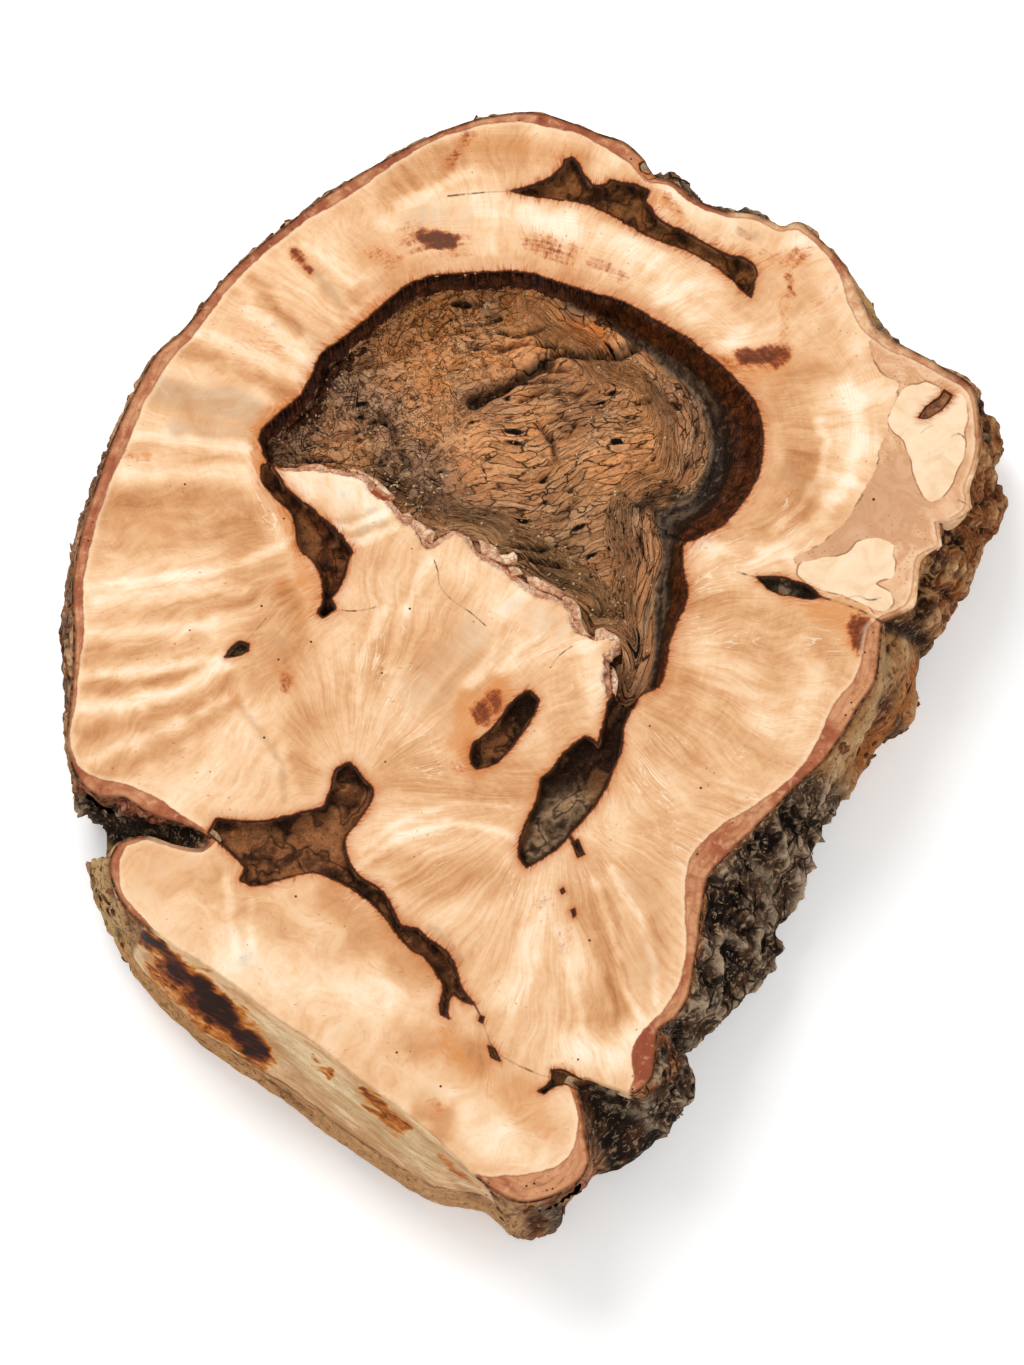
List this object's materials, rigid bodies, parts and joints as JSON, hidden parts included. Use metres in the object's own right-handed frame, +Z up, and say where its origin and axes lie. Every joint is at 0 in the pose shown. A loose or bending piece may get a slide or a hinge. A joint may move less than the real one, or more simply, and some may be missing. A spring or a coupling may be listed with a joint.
{
  "type": "maple burl",
  "caption": "Thick sawn slab of maple burl with bark, a weathered hollow and dark bark pockets in its flat sawn face, resting on its flat underside.",
  "frame": {"origin": "middle of the slab's bounding box, on its flat underside", "axes": "+Z up, out of the sawn face; +X to the right and +Y to the top of the picture, along the slab's length"},
  "size_m": [0.3513, 0.4286, 0.07],
  "materials": {
    "burl_wood": "smooth sawn maple with rough bark round its sides"
  },
  "bodies": {
    "root": {"burl": "burl_wood"}
  },
  "joints": []
}
